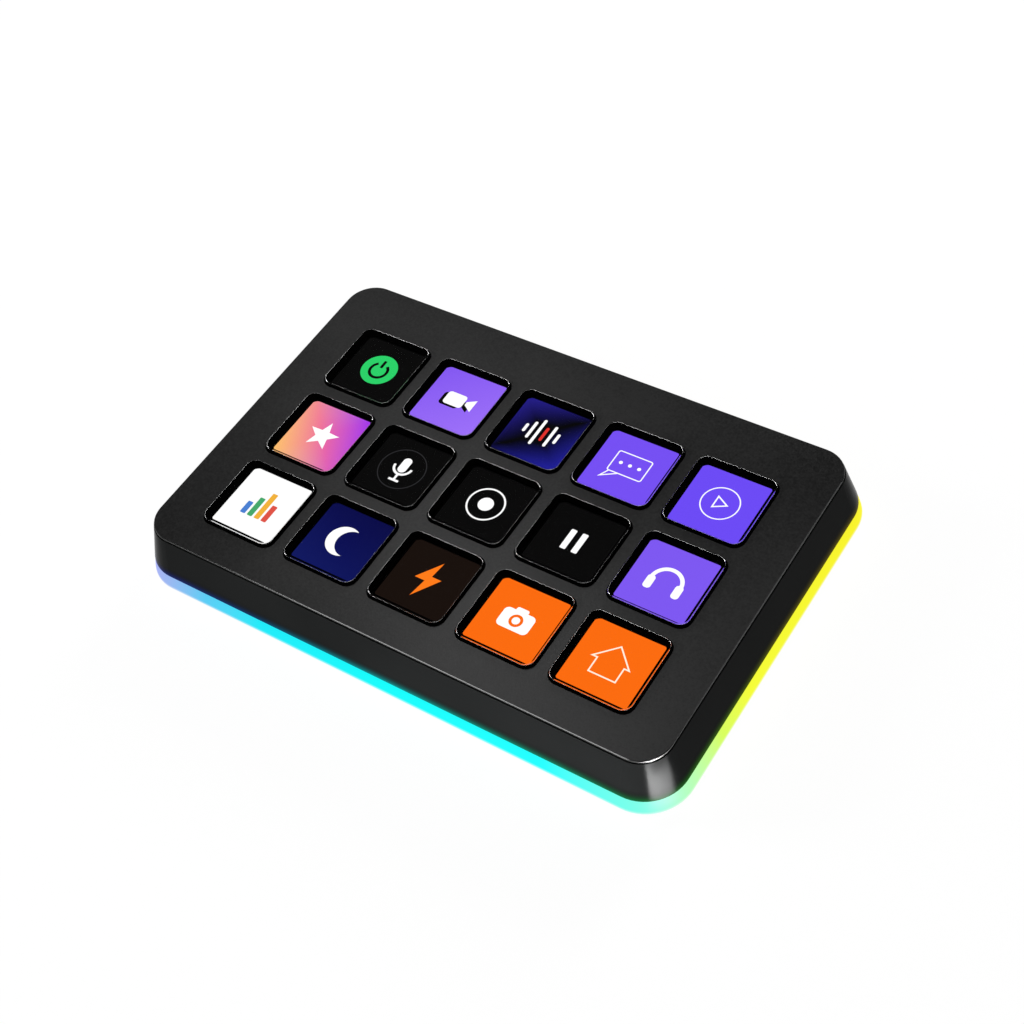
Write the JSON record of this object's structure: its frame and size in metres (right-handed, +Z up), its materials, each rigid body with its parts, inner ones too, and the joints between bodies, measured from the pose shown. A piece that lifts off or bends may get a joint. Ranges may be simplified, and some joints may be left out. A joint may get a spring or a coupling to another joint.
{
  "type": "stream controller",
  "caption": "Low desk controller with a grid of clear display keys in a dark sloped housing, a lit ring round its foot and a socket at the back.",
  "frame": {"origin": "on the desk, under the middle of the face", "axes": "+X to the user's right, +Y to the back, +Z up"},
  "size_m": [0.1324, 0.089, 0.0169],
  "materials": {
    "face_plastic": "fine matte moulded texture",
    "housing_plastic": "satin moulded",
    "ring_diffuser": "translucent, lit from inside",
    "base_plastic": "fine matte moulded texture",
    "clear_acrylic": "clear, polished, black printed sides",
    "silicone": "matte",
    "foot_rubber": "matte",
    "contact_film": "black printed film",
    "foam": "open foam",
    "display_glass": "polarised display glass",
    "light_guide": "white light guide",
    "steel": "drawn sheet",
    "screw_steel": "black oxide",
    "flex_film": "amber polyimide",
    "connector_plastic": "moulded",
    "circuit_board": "green solder mask",
    "chip_resin": "moulded resin",
    "lamp_resin": "clear resin in a white cup"
  },
  "bodies": {
    "housing": {"face_plate": "face_plastic", "upper_housing": "housing_plastic", "light_ring": "ring_diffuser", "base_cover": "base_plastic", "contact_sheet": "contact_film", "dust_gasket": "foam", "display_glass": "display_glass", "display_backlight": "light_guide", "display_tray": "steel", "display_bracket": "base_plastic", "display_ribbon": "flex_film", "ribbon_connector": "connector_plastic", "main_board": "circuit_board", "board_chips": "chip_resin", "usb_socket": "steel", "usb_tongue": "connector_plastic", "light_strip": "flex_film", "ring_lights": "lamp_resin", "bracket_screws": "screw_steel", "board_screws": "screw_steel", "base_screws": "screw_steel", "collar_back_1": "silicone", "collar_back_2": "silicone", "collar_back_3": "silicone", "collar_back_4": "silicone", "collar_back_5": "silicone", "collar_middle_1": "silicone", "collar_middle_2": "silicone", "collar_middle_3": "silicone", "collar_middle_4": "silicone", "collar_middle_5": "silicone", "collar_front_1": "silicone", "collar_front_2": "silicone", "collar_front_3": "silicone", "collar_front_4": "silicone", "collar_front_5": "silicone", "foot_front_left": "foot_rubber", "foot_front_right": "foot_rubber", "foot_back_left": "foot_rubber", "foot_back_right": "foot_rubber"},
    "key_back_1": {"key_back_1": "clear_acrylic"},
    "key_back_2": {"key_back_2": "clear_acrylic"},
    "key_back_3": {"key_back_3": "clear_acrylic"},
    "key_back_4": {"key_back_4": "clear_acrylic"},
    "key_back_5": {"key_back_5": "clear_acrylic"},
    "key_middle_1": {"key_middle_1": "clear_acrylic"},
    "key_middle_2": {"key_middle_2": "clear_acrylic"},
    "key_middle_3": {"key_middle_3": "clear_acrylic"},
    "key_middle_4": {"key_middle_4": "clear_acrylic"},
    "key_middle_5": {"key_middle_5": "clear_acrylic"},
    "key_front_1": {"key_front_1": "clear_acrylic"},
    "key_front_2": {"key_front_2": "clear_acrylic"},
    "key_front_3": {"key_front_3": "clear_acrylic"},
    "key_front_4": {"key_front_4": "clear_acrylic"},
    "key_front_5": {"key_front_5": "clear_acrylic"}
  },
  "joints": [
    {"name": "key_back_1_press", "type": "slide", "parent": "housing", "child": "key_back_1", "axis": [0, 0, -1], "range_m": [0, 0.0008], "stiffness_N_per_m": 750, "deforming": ["collar_back_1"]},
    {"name": "key_back_2_press", "type": "slide", "parent": "housing", "child": "key_back_2", "axis": [0, 0, -1], "range_m": [0, 0.0008], "stiffness_N_per_m": 750, "deforming": ["collar_back_2"]},
    {"name": "key_back_3_press", "type": "slide", "parent": "housing", "child": "key_back_3", "axis": [0, 0, -1], "range_m": [0, 0.0008], "stiffness_N_per_m": 750, "deforming": ["collar_back_3"]},
    {"name": "key_back_4_press", "type": "slide", "parent": "housing", "child": "key_back_4", "axis": [0, 0, -1], "range_m": [0, 0.0008], "stiffness_N_per_m": 750, "deforming": ["collar_back_4"]},
    {"name": "key_back_5_press", "type": "slide", "parent": "housing", "child": "key_back_5", "axis": [0, 0, -1], "range_m": [0, 0.0008], "stiffness_N_per_m": 750, "deforming": ["collar_back_5"]},
    {"name": "key_middle_1_press", "type": "slide", "parent": "housing", "child": "key_middle_1", "axis": [0, 0, -1], "range_m": [0, 0.0008], "stiffness_N_per_m": 750, "deforming": ["collar_middle_1"]},
    {"name": "key_middle_2_press", "type": "slide", "parent": "housing", "child": "key_middle_2", "axis": [0, 0, -1], "range_m": [0, 0.0008], "stiffness_N_per_m": 750, "deforming": ["collar_middle_2"]},
    {"name": "key_middle_3_press", "type": "slide", "parent": "housing", "child": "key_middle_3", "axis": [0, 0, -1], "range_m": [0, 0.0008], "stiffness_N_per_m": 750, "deforming": ["collar_middle_3"]},
    {"name": "key_middle_4_press", "type": "slide", "parent": "housing", "child": "key_middle_4", "axis": [0, 0, -1], "range_m": [0, 0.0008], "stiffness_N_per_m": 750, "deforming": ["collar_middle_4"]},
    {"name": "key_middle_5_press", "type": "slide", "parent": "housing", "child": "key_middle_5", "axis": [0, 0, -1], "range_m": [0, 0.0008], "stiffness_N_per_m": 750, "deforming": ["collar_middle_5"]},
    {"name": "key_front_1_press", "type": "slide", "parent": "housing", "child": "key_front_1", "axis": [0, 0, -1], "range_m": [0, 0.0008], "stiffness_N_per_m": 750, "deforming": ["collar_front_1"]},
    {"name": "key_front_2_press", "type": "slide", "parent": "housing", "child": "key_front_2", "axis": [0, 0, -1], "range_m": [0, 0.0008], "stiffness_N_per_m": 750, "deforming": ["collar_front_2"]},
    {"name": "key_front_3_press", "type": "slide", "parent": "housing", "child": "key_front_3", "axis": [0, 0, -1], "range_m": [0, 0.0008], "stiffness_N_per_m": 750, "deforming": ["collar_front_3"]},
    {"name": "key_front_4_press", "type": "slide", "parent": "housing", "child": "key_front_4", "axis": [0, 0, -1], "range_m": [0, 0.0008], "stiffness_N_per_m": 750, "deforming": ["collar_front_4"]},
    {"name": "key_front_5_press", "type": "slide", "parent": "housing", "child": "key_front_5", "axis": [0, 0, -1], "range_m": [0, 0.0008], "stiffness_N_per_m": 750, "deforming": ["collar_front_5"]}
  ]
}
